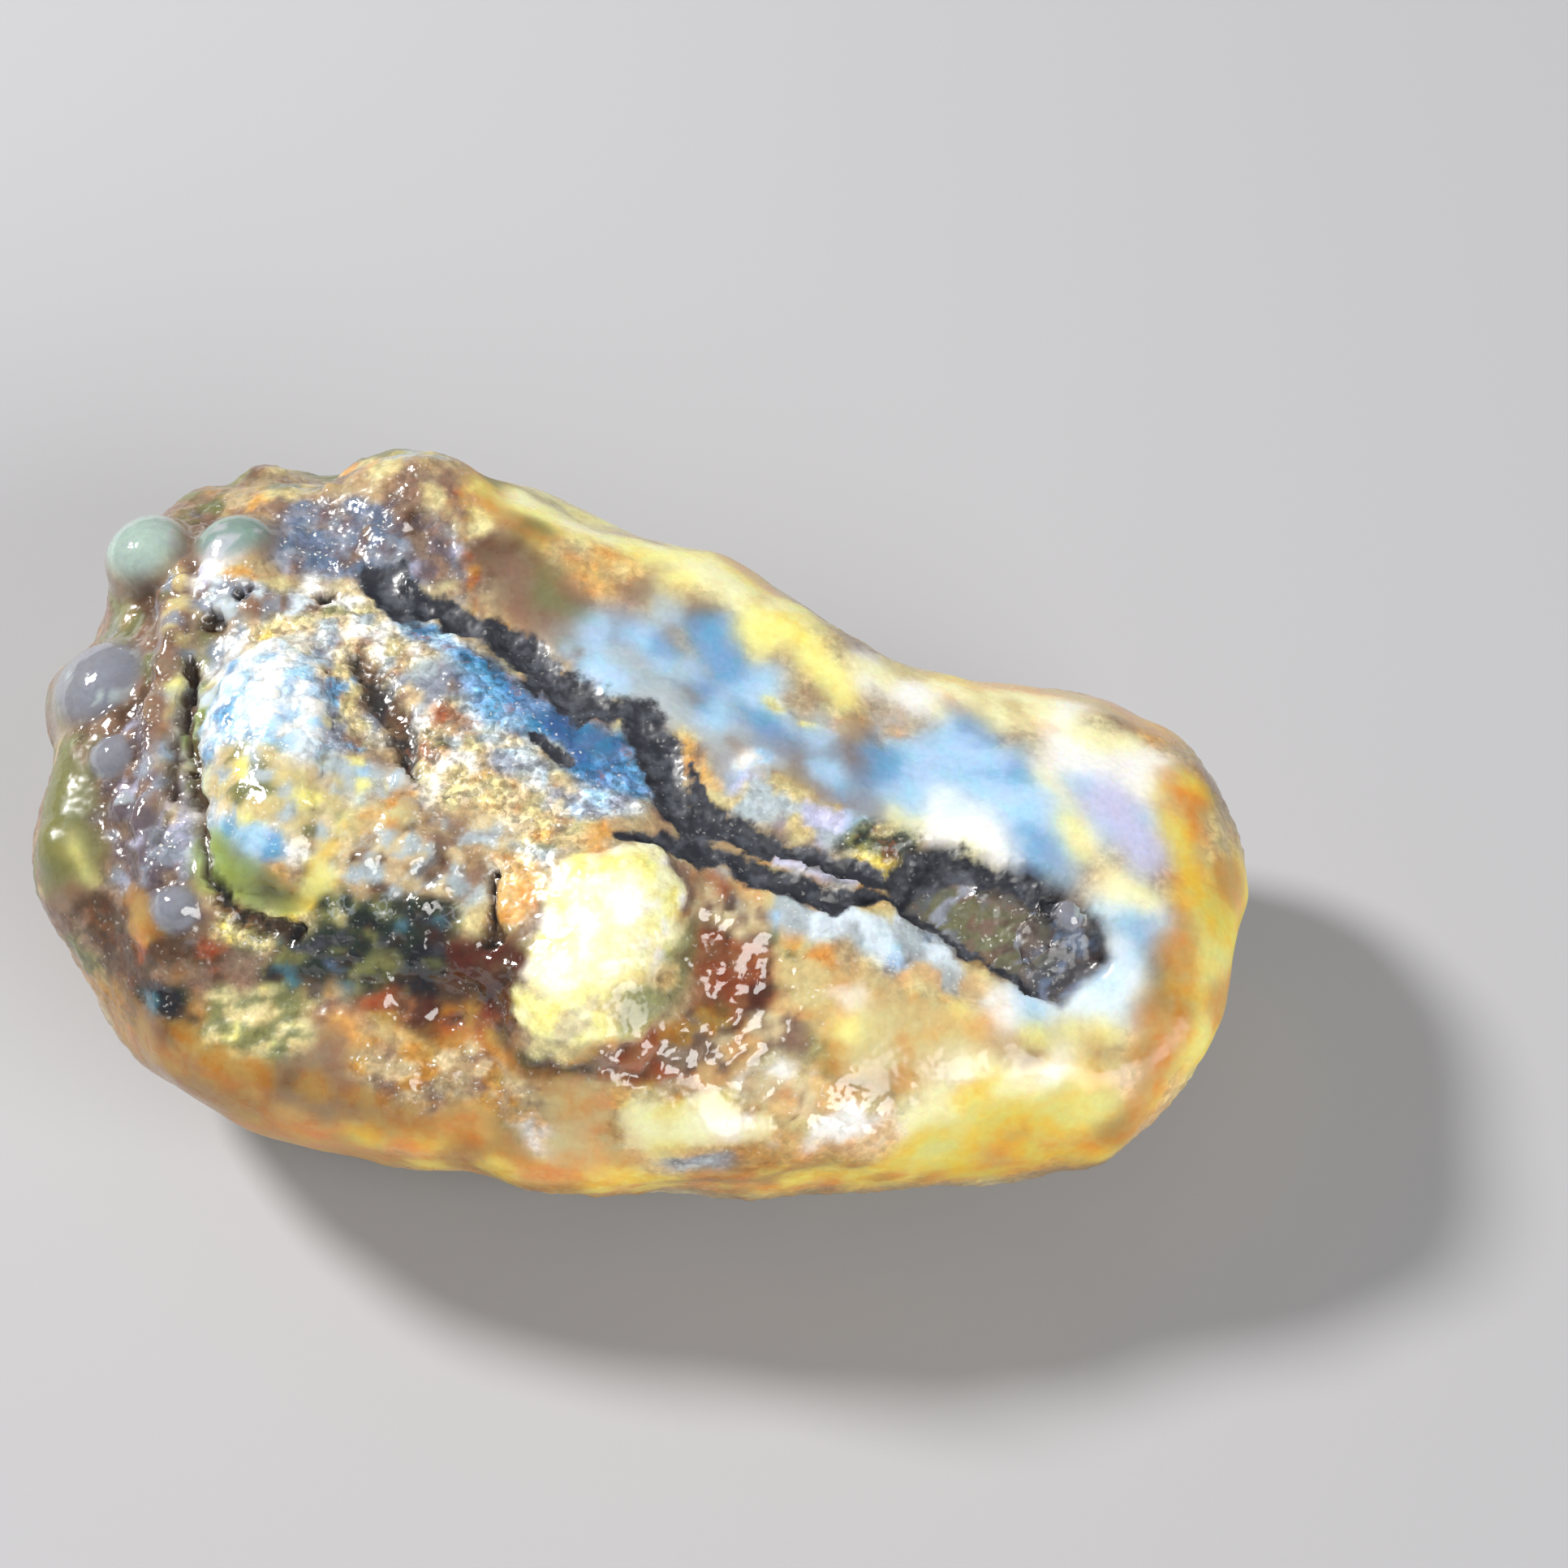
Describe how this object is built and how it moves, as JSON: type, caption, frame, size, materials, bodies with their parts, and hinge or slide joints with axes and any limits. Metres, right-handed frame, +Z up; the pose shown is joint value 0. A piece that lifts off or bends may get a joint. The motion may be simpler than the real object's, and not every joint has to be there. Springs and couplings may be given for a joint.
{
  "type": "rough amber specimen",
  "caption": "Rough natural amber nodule with a knobbly crusted end, a dark charred seam along the top and a clear golden tip.",
  "frame": {"origin": "middle of the bounding box, at the height of the worn flat that the nodule rests on", "axes": "+X along the length towards the narrow clear tip, +Y away from the side with the cream knob, +Z up"},
  "size_m": [0.0256, 0.0176, 0.0096],
  "materials": {
    "amber": "wet-looking glassy crust over clear honey amber, with blue, cream, brown and charred black patches"
  },
  "bodies": {
    "root": {"amber": "amber"}
  },
  "joints": []
}
